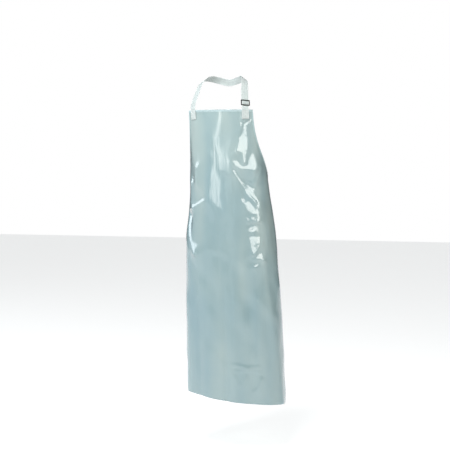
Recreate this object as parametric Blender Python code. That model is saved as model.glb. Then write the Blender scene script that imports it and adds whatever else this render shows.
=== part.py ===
"""Full-length bib apron of coated sheet, hung as it is worn: metres, +Z up, wearer facing -Y.

The origin is the point at the nape where the neck strap rests.  The sheet is wrapped round a waist
and open behind, where a webbing belt with a side-release buckle closes it.
"""
import math

import bmesh
import bpy
import numpy as np
from mathutils import Matrix, Vector

GAP = 0.0003                     # running gap between pieces that touch

# Sheet, measured flat: s runs across from the centre line, z is the height it hangs at.
SHEET_THICKNESS = 0.0008
BIB_HALF_WIDTH = 0.155
SHEET_HALF_WIDTH = 0.400
BIB_TOP_Z = -0.126
ARMHOLE_DROP = 0.324
WAIST_Z = BIB_TOP_Z - ARMHOLE_DROP
HEM_Z = -1.350
HEM_SLANT = -0.105               # the hem hangs lower on +X, metres per metre across
ARMHOLE_ROWS = 9
SKIRT_LEVELS = (0.055, 0.12, 0.19, 0.27, 0.35, 0.43, 0.51, 0.59, 0.67, 0.75, 0.83, 0.91, 1.0)
BIB_COLUMNS = (0.0, 0.035, 0.070, 0.1025, 0.1375)

# Torso that the sheet is wrapped round: half-width, front depth and sideways shift at each height.
TORSO_Y = -0.055
TORSO_Z = (-1.420, -1.000, -0.650, -0.475, -0.300, -0.126)
TORSO_HALF_WIDTH = (0.219, 0.213, 0.198, 0.173, 0.164, 0.177)
TORSO_FRONT = (0.150, 0.150, 0.143, 0.141, 0.138, 0.131)
TORSO_BACK = (0.150, 0.140, 0.128, 0.120, 0.124, 0.124)
TORSO_SHIFT = (0.050, 0.036, 0.022, 0.018, 0.010, 0.000)
ARC_SAMPLES = 181

# Edge bands, folded over the sheet's edge.
BAND_THICKNESS = 0.0006
BAND_CLEARANCE = 0.0004
HEM_DEPTH = 0.009
BINDING_DEPTH = 0.006
BINDING_START_DROP = 0.0110

# Webbing.
WEB_WIDTH = 0.030
WEB_THICKNESS = 0.0011
NECK_SEWN_LENGTH = 0.038
SEWN_OFFSET = 0.0023             # sheet, band and gaps under a sewn strap end
SLIDER_TAIL = 0.050
LOOP_RETURN = 0.032

# Neck strap's centre line on the +X side, from above the slider to the nape, and its width direction.
STRAP_TOP_STRAIGHT = Vector((0.1045, -0.128, -0.045))
NECK_ROUTE = (
    ((0.0985, -0.1060, -0.0120), (0.83, 0.42, -0.36)),
    ((0.0880, -0.0730, 0.0090), (0.80, 0.25, -0.54)),
    ((0.0720, -0.0400, 0.0150), (0.62, 0.22, -0.75)),
    ((0.0440, -0.0135, 0.0090), (0.34, 0.14, -0.93)),
    ((0.0160, -0.0020, 0.0020), (0.10, -0.04, -0.99)),
)

# Slider with three bars, in its own axes: w across the strap, t up it, n outward.
SLIDER_HEIGHT_ABOVE_BIB = 0.031
SLIDER_WIDTH = 0.039
SLIDER_LENGTH = 0.0252
SLIDER_THICKNESS = 0.0022
SLIDER_WINDOW_WIDTH = 0.0326
SLIDER_WINDOW_LENGTH = 0.0178
CENTRE_BAR_RADIUS = 0.0012
LAP_DEPTH = 0.0034               # how far behind the slider's middle the neck strap runs
THREAD_DEPTH = 0.0019
RETURN_DEPTH = 0.0049
SLOT_EXIT = 0.0084
LAP_EXIT_DEPTH = 0.0036
RETURN_EXIT_DEPTH = 0.0052

# Belt and buckle behind the waist: u is +X, v is up, n is outward (+Y).
BELT_Z = WAIST_Z - 0.0245
BUCKLE_MOUTH_X = 0.025
BUCKLE_Y = 0.0745
WAIST_SEWN_LENGTH = 0.034
WAIST_OFFSET = 0.0015
TAIL_DEPTH = 0.0017
EDGE_OVERRUN = 0.003             # how far a strap runs straight past the sheet's edge
SOCKET_LENGTH = 0.038
SOCKET_WIDTH = 0.038
SOCKET_THICKNESS = 0.011
CAVITY_LENGTH = 0.026
CAVITY_WIDTH = 0.031
CAVITY_THICKNESS = 0.007
WINDOW_NEAR = 0.009
WINDOW_FAR = 0.021
WEB_SLOT_WIDTH = 0.0315
SOCKET_SLOT = (-0.0330, -0.0285)
SOCKET_BAR_HALF = 0.0015
PLUG_LENGTH = 0.022
PLUG_THICKNESS = 0.009
PLUG_MOUTH_GAP = 0.0005
PLUG_SLOTS = ((0.0058, 0.0100), (0.0130, 0.0176))
PLUG_BAR_HALF = 0.0012
TONGUE_LENGTH = 0.020
TONGUE_HALF_WIDTH = 0.003
TONGUE_HALF_THICKNESS = 0.0025
PRONG_HALF_THICKNESS = 0.0026
PRONG_OUTLINE = (
    (0.0002, 0.0075), (0.0002, 0.0112), (-0.0098, 0.0124), (-0.0098, 0.0169), (-0.0140, 0.0172),
    (-0.0195, 0.0146), (-0.0240, 0.0118), (-0.0246, 0.0096), (-0.0190, 0.0082), (-0.0080, 0.0083),
)

# Seams and backing patches.
THREAD = 0.0006
CORNER_SEAM = (0.024, 0.026)
LOOP_SEAM = (0.024, 0.012)
WAIST_SEAM = (0.024, 0.022)
PATCH_THICKNESS = 0.0008
CORNER_PATCH = (0.033, 0.036)
WAIST_PATCH = (0.034, 0.036)

SHEET_COLOUR = (0.60, 0.72, 0.72)
WEB_COLOUR = (0.80, 0.84, 0.81)
THREAD_COLOUR = (0.86, 0.88, 0.85)
BLACK = (0.012, 0.015, 0.014)


def clear_scene():
    for item in list(bpy.data.objects):
        bpy.data.objects.remove(item, do_unlink=True)


def make_material(name, colour, roughness):
    material = bpy.data.materials.new(name)
    material.use_nodes = True
    shader = material.node_tree.nodes["Principled BSDF"]
    shader.inputs["Base Color"].default_value = (*colour, 1.0)
    shader.inputs["Roughness"].default_value = roughness
    shader.inputs["Metallic"].default_value = 0.0
    return material


def add_mesh(name, vertices, faces, material, smooth=False):
    """One closed object; its faces are turned to point outward."""
    mesh = bpy.data.meshes.new(name)
    mesh.from_pydata([tuple(v) for v in vertices], [], faces)
    builder = bmesh.new()
    builder.from_mesh(mesh)
    bmesh.ops.recalc_face_normals(builder, faces=builder.faces)
    builder.to_mesh(mesh)
    builder.free()
    if smooth:
        mesh.shade_smooth()
        mesh.set_sharp_from_angle(angle=math.radians(35))
    item = bpy.data.objects.new(name, mesh)
    item.data.materials.append(material)
    bpy.context.collection.objects.link(item)
    return item


def move_origin(item, point):
    """Puts the object's origin on its joint without moving the shape."""
    item.data.transform(Matrix.Translation(-Vector(point)))
    item.location = point


# ---------------------------------------------------------------- the hanging sheet

def torso_section(z):
    rows = (TORSO_HALF_WIDTH, TORSO_FRONT, TORSO_BACK, TORSO_SHIFT)
    return [float(np.interp(z, TORSO_Z, row)) for row in rows]


def drape(s, z):
    """Point of the sheet's middle surface, s metres round the torso from the front centre line."""
    half_width, front, back, shift = torso_section(z)
    angles = np.linspace(0.0, math.pi, ARC_SAMPLES)
    depth = np.where(angles < math.pi / 2, front, back)
    xs = half_width * np.sin(angles)
    ys = -depth * np.cos(angles)
    lengths = np.concatenate(([0.0], np.cumsum(np.hypot(np.diff(xs), np.diff(ys)))))
    x = float(np.interp(abs(s), lengths, xs)) * (1 if s >= 0 else -1)
    y = float(np.interp(abs(s), lengths, ys))
    return Vector((x + shift, TORSO_Y + y, z))


def drape_normal(s, z, step=0.004):
    across = drape(s + step, z) - drape(s - step, z)
    up = drape(s, z + step) - drape(s, z - step)
    return across.cross(up).normalized()


def armhole_half_width(drop):
    reach = SHEET_HALF_WIDTH - BIB_HALF_WIDTH
    share = min(drop / ARMHOLE_DROP, 1.0)
    return BIB_HALF_WIDTH + reach * (1 - math.sqrt(max(0.0, 1 - share * share)))


def half_columns():
    """Column places from the centre line out: under the straps, then where each row meets the armhole."""
    steps = [armhole_half_width(armhole_drop(k)) for k in range(ARMHOLE_ROWS + 1)]
    return list(BIB_COLUMNS) + steps


def armhole_drop(row):
    return ARMHOLE_DROP * math.sin(math.radians(90 * row / ARMHOLE_ROWS))


HALF = half_columns()
ACROSS = [-s for s in reversed(HALF[1:])] + HALF
CENTRE = len(HALF) - 1
FIRST_EDGE = len(BIB_COLUMNS)


def sheet_flat_grid():
    """Rows of (s, z) from the bib's top edge to the hem; the armhole cuts the corners off later."""
    rows = [[(s, BIB_TOP_Z - armhole_drop(k)) for s in ACROSS] for k in range(ARMHOLE_ROWS + 1)]
    hems = [HEM_Z + HEM_SLANT * drape(s, HEM_Z).x for s in ACROSS]
    for level in SKIRT_LEVELS:
        rows.append([(s, WAIST_Z + (hem - WAIST_Z) * level) for s, hem in zip(ACROSS, hems)])
    return rows


FLAT = sheet_flat_grid()
MIDDLE = [[drape(s, z) for s, z in row] for row in FLAT]
NORMALS = [[drape_normal(s, z) for s, z in row] for row in FLAT]


def edge_column(row, side):
    """Column where a row meets the sheet's edge."""
    return CENTRE + side * (FIRST_EDGE + min(row, ARMHOLE_ROWS))


def cell_corners(row, column):
    """Grid corners of the cell below a row and right of a column: four, three on the armhole, or none."""
    left, right = column - CENTRE, column + 1 - CENTRE
    side = 1 if right > 0 else -1
    beyond = max(abs(left), abs(right)) - FIRST_EDGE - min(row, ARMHOLE_ROWS)
    corners = [(row, column), (row + 1, column), (row + 1, column + 1), (row, column + 1)]
    if beyond <= 0:
        return corners
    if beyond > 1:
        return []
    corners.remove((row, column + 1) if side > 0 else (row, column))
    return corners


def facet_point(s, z):
    """Point and normal on the faceted sheet, between its grid lines."""
    heights = [row[CENTRE][1] for row in FLAT]
    row = max(k for k in range(len(FLAT) - 1) if heights[k] >= z or k == 0)
    column = max(k for k in range(len(ACROSS) - 1) if ACROSS[k] <= s or k == 0)
    down = (heights[row] - z) / (heights[row] - heights[row + 1])
    across = (s - ACROSS[column]) / (ACROSS[column + 1] - ACROSS[column])
    cell = cell_corners(row, column)
    shares = {(row, column): (1 - down) * (1 - across), (row + 1, column): down * (1 - across),
              (row + 1, column + 1): down * across, (row, column + 1): (1 - down) * across}
    if len(cell) == 3 and (row, column) in cell:
        shares = {(row, column): 1 - down, (row + 1, column): down - across,
                  (row + 1, column + 1): across}
    elif len(cell) == 3:
        shares = {(row, column + 1): 1 - down, (row + 1, column + 1): down + across - 1,
                  (row + 1, column): 1 - across}
    point, normal = Vector(), Vector()
    for (r, c), share in shares.items():
        point += MIDDLE[r][c] * share
        normal += NORMALS[r][c] * share
    return point, normal.normalized()


def make_sheet(material):
    half = SHEET_THICKNESS / 2
    cells = [cell_corners(r, c) for r in range(len(FLAT) - 1) for c in range(len(ACROSS) - 1)]
    cells = [cell for cell in cells if cell]
    used = sorted({corner for cell in cells for corner in cell})
    index = {corner: k for k, corner in enumerate(used)}
    outer = [MIDDLE[r][c] + NORMALS[r][c] * half for r, c in used]
    inner = [MIDDLE[r][c] - NORMALS[r][c] * half for r, c in used]
    front = [[index[corner] for corner in cell] for cell in cells]
    back = [[k + len(used) for k in reversed(face)] for face in front]
    edges = {(face[k], face[(k + 1) % len(face)]) for face in front for k in range(len(face))}
    rim = [[b, a, a + len(used), b + len(used)] for a, b in sorted(edges) if (b, a) not in edges]
    return add_mesh("apron_panel", outer + inner, front + back + rim, material, smooth=True)


def make_edge_band(name, edge, inner, normals, material):
    """U-shaped band folded over an edge: edge points, points on the sheet inside it, and normals."""
    near = SHEET_THICKNESS / 2 + BAND_CLEARANCE
    far = near + BAND_THICKNESS
    vertices = []
    for rim, foot, normal in zip(edge, inner, normals):
        outward = (rim - foot).normalized()
        inside = rim + outward * BAND_CLEARANCE
        outside = inside + outward * BAND_THICKNESS
        vertices += [foot + normal * far, outside + normal * far, outside - normal * far,
                     foot - normal * far, foot - normal * near, inside - normal * near,
                     inside + normal * near, foot + normal * near]
    corners = 8
    rims = (1, 2, 5, 6)
    faces = []
    for k in range(len(edge) - 1):
        for c in range(corners):
            d = (c + 1) % corners
            here, there = k * corners, (k + 1) * corners
            if c in rims:
                faces += [[here + c, here + d, there + d], [here + c, there + d, there + c]]
            else:
                faces += [[here + c, here + d, there + c], [here + d, there + d, there + c]]
    for start in (0, (len(edge) - 1) * corners):
        for quad in ((0, 1, 6, 7), (1, 2, 5, 6), (2, 3, 4, 5)):
            faces.append([start + c for c in quad])
    return add_mesh(name, vertices, faces, material)


def make_bib_hem(material):
    columns = range(edge_column(0, -1), edge_column(0, 1) + 1)
    edge = [MIDDLE[0][c] for c in columns]
    inner = [facet_point(ACROSS[c], BIB_TOP_Z - HEM_DEPTH)[0] for c in columns]
    return make_edge_band("bib_top_hem", edge, inner, [NORMALS[0][c] for c in columns], material)


def make_armhole_binding(name, side, material):
    reach = SHEET_HALF_WIDTH - BIB_HALF_WIDTH
    edge, inner, normals = [], [], []
    share = BINDING_START_DROP / armhole_drop(1)
    start = HALF[FIRST_EDGE] + (HALF[FIRST_EDGE + 1] - HALF[FIRST_EDGE]) * share

    def inward(s, z):
        return Vector(((s - SHEET_HALF_WIDTH) / reach ** 2, (z - BIB_TOP_Z) / ARMHOLE_DROP ** 2)).normalized()

    stations = [(start, BIB_TOP_Z - BINDING_START_DROP)]
    for row in range(1, ARMHOLE_ROWS + 1):
        here = Vector((HALF[FIRST_EDGE + row], BIB_TOP_Z - armhole_drop(row)))
        stations.append(tuple(here))
        if row < ARMHOLE_ROWS:
            there = Vector((HALF[FIRST_EDGE + row + 1], BIB_TOP_Z - armhole_drop(row + 1)))
            share = -inward(*here).x * BINDING_DEPTH / (there.x - here.x)
            share = -inward(*here.lerp(there, share)).x * BINDING_DEPTH / (there.x - here.x)
            stations.append(tuple(here.lerp(there, share)))
    for s, z in stations:
        away = inward(s, z)
        rim, normal = facet_point(side * s, z)
        foot = facet_point(side * (s + away.x * BINDING_DEPTH), z + away.y * BINDING_DEPTH)[0]
        edge.append(rim)
        inner.append(foot)
        normals.append(normal)
    return make_edge_band(name, edge, inner, normals, material)


# ---------------------------------------------------------------- flat pieces on one facet

def facet_axes(row, column):
    """Axes on a facet of the sheet: X across (+s), Y up the sheet, Z outward, origin at its middle."""
    above, below = MIDDLE[row], MIDDLE[row + 1]
    corners = [above[column], above[column + 1], below[column + 1], below[column]]
    middle = sum(corners, Vector()) / len(corners)
    across = (corners[1] + corners[2] - corners[0] - corners[3]).normalized()
    up = corners[0] + corners[1] - corners[2] - corners[3]
    outward = across.cross(up).normalized()
    up = outward.cross(across)
    axes = Matrix((across, up, outward)).transposed().to_4x4()
    axes.translation = middle
    return axes


def add_box(name, axes, low, high, material):
    """Box between two corners in the given axes."""
    vertices = [axes @ Vector((x, y, z)) for x in (low[0], high[0]) for y in (low[1], high[1])
                for z in (low[2], high[2])]
    faces = [[0, 1, 3, 2], [4, 6, 7, 5], [0, 4, 5, 1], [2, 3, 7, 6], [0, 2, 6, 4], [1, 5, 7, 3]]
    return add_mesh(name, vertices, faces, material)


def add_patch(name, axes, size, centre, offset, material):
    low = (centre[0] - size[0] / 2, centre[1] - size[1] / 2, offset - PATCH_THICKNESS / 2)
    high = (centre[0] + size[0] / 2, centre[1] + size[1] / 2, offset + PATCH_THICKNESS / 2)
    return add_box(name, axes, low, high, material)


def add_seam(name, axes, size, centre, offset, material):
    """Box seam: a closed rectangle of thread lying on the webbing."""
    half = THREAD / 2
    vertices, faces = [], []
    for sx, sy in ((-1, -1), (1, -1), (1, 1), (-1, 1)):
        for grow, lift in ((-half, -half), (half, -half), (half, half), (-half, half)):
            x = centre[0] + sx * (size[0] / 2 + grow)
            y = centre[1] + sy * (size[1] / 2 + grow)
            vertices.append(axes @ Vector((x, y, offset + lift)))
    for corner in range(4):
        following = (corner + 1) % 4
        for k in range(4):
            m = (k + 1) % 4
            faces.append([corner * 4 + k, corner * 4 + m, following * 4 + m, following * 4 + k])
    return add_mesh(name, vertices, faces, material)


# ---------------------------------------------------------------- webbing

def add_ribbon(name, stations, material):
    """Webbing along (point, width direction) stations, with square ends."""
    points = [Vector(p) for p, _ in stations]
    vertices = []
    for k, (point, width) in enumerate(zip(points, (Vector(w).normalized() for _, w in stations))):
        before = (point - points[k - 1]).normalized() if k else None
        after = (points[k + 1] - point).normalized() if k < len(points) - 1 else None
        tangent = ((before or after) + (after or before)).normalized()
        width = (width - tangent * width.dot(tangent)).normalized()
        mitre = max(0.6, tangent.dot(after or before))
        lift = tangent.cross(width) * (WEB_THICKNESS / 2 / mitre)
        reach = width * (WEB_WIDTH / 2)
        vertices += [point + reach + lift, point - reach + lift, point - reach - lift, point + reach - lift]
    faces = [[0, 1, 2, 3]]
    for k in range(len(points) - 1):
        for c in range(4):
            d = (c + 1) % 4
            faces.append([k * 4 + c, k * 4 + d, k * 4 + 4 + d, k * 4 + 4 + c])
    last = (len(points) - 1) * 4
    faces.append([last + 3, last + 2, last + 1, last])
    return add_mesh(name, vertices, faces, material, smooth=True)


def smooth_stations(stations, pieces):
    """Catmull-Rom curve through (point, width direction) stations, in equal pieces between each pair."""
    ends = [stations[0]] + list(stations) + [stations[-1]]
    result = []
    for k in range(1, len(ends) - 2):
        for step in range(pieces):
            t = step / pieces
            weights = (-t + 2 * t * t - t ** 3, 2 - 5 * t * t + 3 * t ** 3,
                       t + 4 * t * t - 3 * t ** 3, t ** 3 - t * t)
            point = Vector()
            width = Vector()
            for weight, (p, w) in zip(weights, ends[k - 1:k + 3]):
                point += Vector(p) * weight / 2
                width += Vector(w) * weight / 2
            result.append((point, width))
    result.append((Vector(stations[-1][0]), Vector(stations[-1][1])))
    return result


def arc(radius, first, last, pieces):
    """Points (t, n) round the slider's centre bar, by angle from +t towards +n, in degrees."""
    angles = [math.radians(first + (last - first) * k / pieces) for k in range(pieces + 1)]
    return [(radius * math.cos(a), radius * math.sin(a)) for a in angles]


def tangent_angle(radius, t, n, front):
    """Angle of the point where a straight run from (t, n) meets a circle round the centre bar."""
    turn = math.degrees(math.acos(radius / math.hypot(t, n)))
    return math.degrees(math.atan2(n, t)) + (turn if front else -turn)


class SliderAxes:
    """Where the slider sits on the strap, and its axes."""

    def __init__(self, axes):
        foot = axes @ Vector((0, NECK_TOP_EDGE, SEWN_OFFSET))
        self.up = (STRAP_TOP_STRAIGHT - foot).normalized()
        out = axes.to_3x3() @ Vector((0, 0, 1))
        self.out = (out - self.up * out.dot(self.up)).normalized()
        self.across = self.up.cross(self.out)
        self.centre = foot + self.up * SLIDER_HEIGHT_ABOVE_BIB + self.out * LAP_DEPTH

    def at(self, t, n, w=0.0):
        return self.centre + self.up * t + self.out * n + self.across * w

    def matrix(self):
        axes = Matrix((self.across, self.up, self.out)).transposed().to_4x4()
        axes.translation = self.centre
        return axes


CORNER_COLUMN = {side: CENTRE + (3 if side > 0 else -4) for side in (-1, 1)}
CORNER_AXES = {side: facet_axes(0, CORNER_COLUMN[side]) for side in (-1, 1)}
NECK_TOP_EDGE = (FLAT[0][0][1] - FLAT[1][0][1]) / 2
SLIDER = SliderAxes(CORNER_AXES[1])


def sewn_end(side):
    """Stations of a neck strap's end, up the bib's corner to just above its top edge."""
    axes = CORNER_AXES[side]
    width = axes.to_3x3() @ Vector((side, 0, 0))
    heights = (NECK_TOP_EDGE - NECK_SEWN_LENGTH, NECK_TOP_EDGE - 0.004, NECK_TOP_EDGE + 0.004)
    return [(axes @ Vector((0, h, SEWN_OFFSET)), width) for h in heights]


def make_slider_strap(material):
    """Short strap from the bib, behind the lower bar, over the middle bar, and behind the upper one."""
    radius = CENTRE_BAR_RADIUS + 2 * GAP + 1.5 * WEB_THICKNESS
    first = tangent_angle(radius, SLOT_EXIT, -THREAD_DEPTH, True)
    route = [(-0.0128, -THREAD_DEPTH), (-SLOT_EXIT, -THREAD_DEPTH)]
    route += [(t, n) for t, n in arc(radius, 180 - first, first, 5)]
    route += [(SLOT_EXIT, -THREAD_DEPTH), (0.0128, -THREAD_DEPTH), (SLIDER_TAIL, -THREAD_DEPTH)]
    stations = sewn_end(1) + [(SLIDER.at(t, n), SLIDER.across) for t, n in route]
    return add_ribbon("slider_strap", stations, material)


def make_neck_strap(material):
    """Long strap: folded round the slider's middle bar, round the neck, to the bib's other corner."""
    radius = CENTRE_BAR_RADIUS + GAP + 0.5 * WEB_THICKNESS
    back = tangent_angle(radius, SLOT_EXIT, -RETURN_EXIT_DEPTH, False) % 360
    front = tangent_angle(radius, SLOT_EXIT, -LAP_EXIT_DEPTH, True)
    route = [(LOOP_RETURN, -RETURN_DEPTH), (0.0120, -RETURN_DEPTH), (SLOT_EXIT, -RETURN_EXIT_DEPTH)]
    route += arc(radius, back, front, 8)
    route += [(SLOT_EXIT, -LAP_EXIT_DEPTH), (0.0120, -LAP_DEPTH), (0.030, -LAP_DEPTH)]
    stations = [(SLIDER.at(t, n), SLIDER.across) for t, n in route]
    straight = STRAP_TOP_STRAIGHT
    right = [(straight, SLIDER.across)] + list(NECK_ROUTE)
    nape = [((0.0, WEB_THICKNESS / 2, 0.0), (0.0, -0.08, -1.0))]
    left = [((-p[0], p[1], p[2]), (-w[0], w[1], w[2])) for p, w in reversed(right)]
    stations += smooth_stations(right + nape + left, 4)
    stations += list(reversed(sewn_end(-1)))
    return add_ribbon("neck_strap", stations, material)


def belt_point(u, n):
    return Vector((BUCKLE_MOUTH_X + u, BUCKLE_Y + n, BELT_Z))


BELT_AXES = {side: facet_axes(ARMHOLE_ROWS, 0 if side < 0 else len(ACROSS) - 2) for side in (-1, 1)}
UP = Vector((0, 0, 1))
WAIST_COLUMN_WIDTH = HALF[-1] - HALF[-2]


def waist_centre(side):
    """Middle of the strap's sewn end, in the waist facet's axes."""
    axes = BELT_AXES[side]
    local = axes.inverted() @ Vector((axes.translation.x, axes.translation.y, BELT_Z))
    return (side * 0.004, local.y)


def waist_sewn_end(side):
    axes = BELT_AXES[side]
    x, y = waist_centre(side)
    inner = x - side * WAIST_SEWN_LENGTH / 2
    outer = side * (WAIST_COLUMN_WIDTH / 2 + EDGE_OVERRUN)
    width = axes.to_3x3() @ Vector((0, 1, 0))
    return [(axes @ Vector((place, y, WAIST_OFFSET)), width) for place in (inner, outer)]


def make_waist_strap_left(material):
    """From the sheet's -X corner round to the socket's end bar, and folded back on itself."""
    bar = SOCKET_SLOT[0]
    radius = SOCKET_BAR_HALF + GAP + WEB_THICKNESS / 2
    sewn, edge = waist_sewn_end(-1)
    run = [sewn] + smooth_stations([edge, (belt_point(-0.054, -0.0006), UP),
                                    (belt_point(-0.041, 0.0021), UP),
                                    (belt_point(bar - 0.002, radius), UP)], 3)
    turn = [(belt_point(bar + r * 1.0, n), UP) for r, n in arc(radius, 90, -90, 6)]
    lap = -0.0025
    back = [(belt_point(bar - 0.005, -radius), UP), (belt_point(-0.042, lap), UP),
            (belt_point(-0.052, lap), UP)]
    return add_ribbon("waist_strap_left", run + turn + back, material)


def laid_under(run, count, depth):
    """The last stations of a run, in reverse and moved inward, for webbing laid along its inner face."""
    result = []
    for k in range(len(run) - 1, len(run) - 1 - count, -1):
        along = (run[k][0] - run[k - 1][0]).normalized()
        result.append((run[k][0] + UP.cross(along) * depth, run[k][1]))
    return result


def make_waist_strap_right(material):
    """From the sheet's +X corner, through the plug's two slots round its bar, tail laid underneath."""
    sewn, edge = waist_sewn_end(1)
    run = smooth_stations([edge, (belt_point(0.041, -0.0044), UP), (belt_point(0.029, -0.0025), UP),
                           (belt_point(0.0205, -0.0021), UP)], 3)
    through = [(belt_point(u, n), UP) for u, n in (
        (0.0172, -0.0020), (0.0143, 0.0012), (0.0127, 0.00215), (0.0107, 0.00215), (0.0091, 0.0016),
        (0.0089, 0.0002), (0.0090, -0.0012), (0.0099, -0.0030), (0.0122, -0.0037))]
    tail = laid_under(run, 7, TAIL_DEPTH)
    return add_ribbon("waist_strap_right", [(sewn[0], sewn[1])] + run + through + tail, material)


# ---------------------------------------------------------------- moulded pieces

def apply_boolean(item, other, operation):
    """Cuts or joins with another object, which is left out of the model afterwards."""
    modifier = item.modifiers.new(operation.lower(), "BOOLEAN")
    modifier.operation = operation
    modifier.solver = "EXACT"
    modifier.object = other
    other.hide_render = True
    other.display_type = "WIRE"


def rounded_outline(width, length, corner, pieces=4):
    points = []
    for quarter, (sx, sy) in enumerate(((1, 1), (-1, 1), (-1, -1), (1, -1))):
        for k in range(pieces + 1):
            angle = math.radians(90 * (quarter + k / pieces))
            points.append((sx * (width / 2 - corner) + corner * math.cos(angle),
                           sy * (length / 2 - corner) + corner * math.sin(angle)))
    return points


def add_prism(name, axes, outline, low, high, material):
    """Outline in the axes' X and Y, extruded from low to high along their Z."""
    count = len(outline)
    vertices = [axes @ Vector((x, y, z)) for z in (low, high) for x, y in outline]
    faces = [list(range(count))[::-1], list(range(count, 2 * count))]
    for k in range(count):
        m = (k + 1) % count
        faces.append([k, m, count + m, count + k])
    return add_mesh(name, vertices, faces, material)


def make_slider(material):
    axes = SLIDER.matrix()
    half = SLIDER_THICKNESS / 2
    frame = rounded_outline(SLIDER_WIDTH, SLIDER_LENGTH, 0.003)
    body = add_prism("neck_slider", axes, frame, -half, half, material)
    opening = rounded_outline(SLIDER_WINDOW_WIDTH, SLIDER_WINDOW_LENGTH, 0.001, 2)
    window = add_prism("slider_window", axes, opening, -2 * half, 2 * half, material)
    apply_boolean(body, window, "DIFFERENCE")
    circle = [(CENTRE_BAR_RADIUS * math.cos(math.radians(30 * k)),
               CENTRE_BAR_RADIUS * math.sin(math.radians(30 * k))) for k in range(12)]
    lengthwise = axes @ Matrix(((0, 0, 1, 0), (1, 0, 0, 0), (0, 1, 0, 0), (0, 0, 0, 1)))
    reach = SLIDER_WINDOW_WIDTH / 2 + 0.001
    bar = add_prism("slider_bar", lengthwise, circle, -reach, reach, material)
    apply_boolean(body, bar, "UNION")
    move_origin(body, SLIDER.centre)


BUCKLE_AXES = Matrix(((1, 0, 0, BUCKLE_MOUTH_X), (0, 0, 1, BUCKLE_Y), (0, -1, 0, BELT_Z), (0, 0, 0, 1)))


def cut_box(item, name, low, high, material):
    apply_boolean(item, add_box(name, BUCKLE_AXES, low, high, material), "DIFFERENCE")


def buckle_outline(near, far, width, corner):
    """Plan outline from near to far along the belt, with cut corners at the near end."""
    half = width / 2
    return [(near, -half + corner), (near + corner, -half), (far, -half), (far, half),
            (near + corner, half), (near, half - corner)]


def make_socket(material):
    half = SOCKET_THICKNESS / 2
    body = add_prism("buckle_socket", BUCKLE_AXES, buckle_outline(-SOCKET_LENGTH, 0.0, SOCKET_WIDTH, 0.004),
                     -half, half, material)
    cavity, wide = CAVITY_WIDTH / 2, SOCKET_WIDTH
    deep = CAVITY_THICKNESS / 2
    cut_box(body, "socket_cavity", (-CAVITY_LENGTH, -cavity, -deep), (0.01, cavity, deep), material)
    cut_box(body, "socket_windows", (-WINDOW_FAR, -wide, -deep), (-WINDOW_NEAR, wide, deep), material)
    slot = WEB_SLOT_WIDTH / 2
    cut_box(body, "socket_slot", (SOCKET_SLOT[0], -slot, -wide), (SOCKET_SLOT[1], slot, wide), material)
    for name, sign in (("socket_relief_out", 1), ("socket_relief_in", -1)):
        near, far = sorted((sign * SOCKET_BAR_HALF, sign * wide))
        cut_box(body, name, (-0.05, -slot, near), (SOCKET_SLOT[0] + 0.001, slot, far), material)
    return body


def make_plug(material):
    half = PLUG_THICKNESS / 2
    outline = [(-u, v) for u, v in buckle_outline(-PLUG_LENGTH, -PLUG_MOUTH_GAP, SOCKET_WIDTH, 0.004)][::-1]
    body = add_prism("buckle_plug", BUCKLE_AXES, outline, -half, half, material)
    slot = WEB_SLOT_WIDTH / 2
    for k, (near, far) in enumerate(PLUG_SLOTS):
        cut_box(body, f"plug_slot_{k + 1}", (near, -slot, -0.02), (far, slot, 0.02), material)
    for name, sign in (("plug_relief_out", 1), ("plug_relief_in", -1)):
        near, far = sorted((sign * PLUG_BAR_HALF, sign * 0.02))
        cut_box(body, name, (PLUG_SLOTS[0][0], -slot, near), (PLUG_LENGTH + 0.01, slot, far), material)
    tongue = add_box("plug_tongue", BUCKLE_AXES, (-TONGUE_LENGTH, -TONGUE_HALF_WIDTH, -TONGUE_HALF_THICKNESS),
                     (0.003, TONGUE_HALF_WIDTH, TONGUE_HALF_THICKNESS), material)
    apply_boolean(body, tongue, "UNION")
    move_origin(body, (BUCKLE_MOUTH_X, BUCKLE_Y, BELT_Z))


def make_prong(name, side, material):
    """Sprung arm with its latching head; side +1 is the upper one."""
    outline = [(u, -side * v) for u, v in PRONG_OUTLINE]
    body = add_prism(name, BUCKLE_AXES, outline, -PRONG_HALF_THICKNESS, PRONG_HALF_THICKNESS, material)
    root = (BUCKLE_MOUTH_X, BUCKLE_Y, BELT_Z + side * (PRONG_OUTLINE[0][1] + PRONG_OUTLINE[1][1]) / 2)
    move_origin(body, root)


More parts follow.
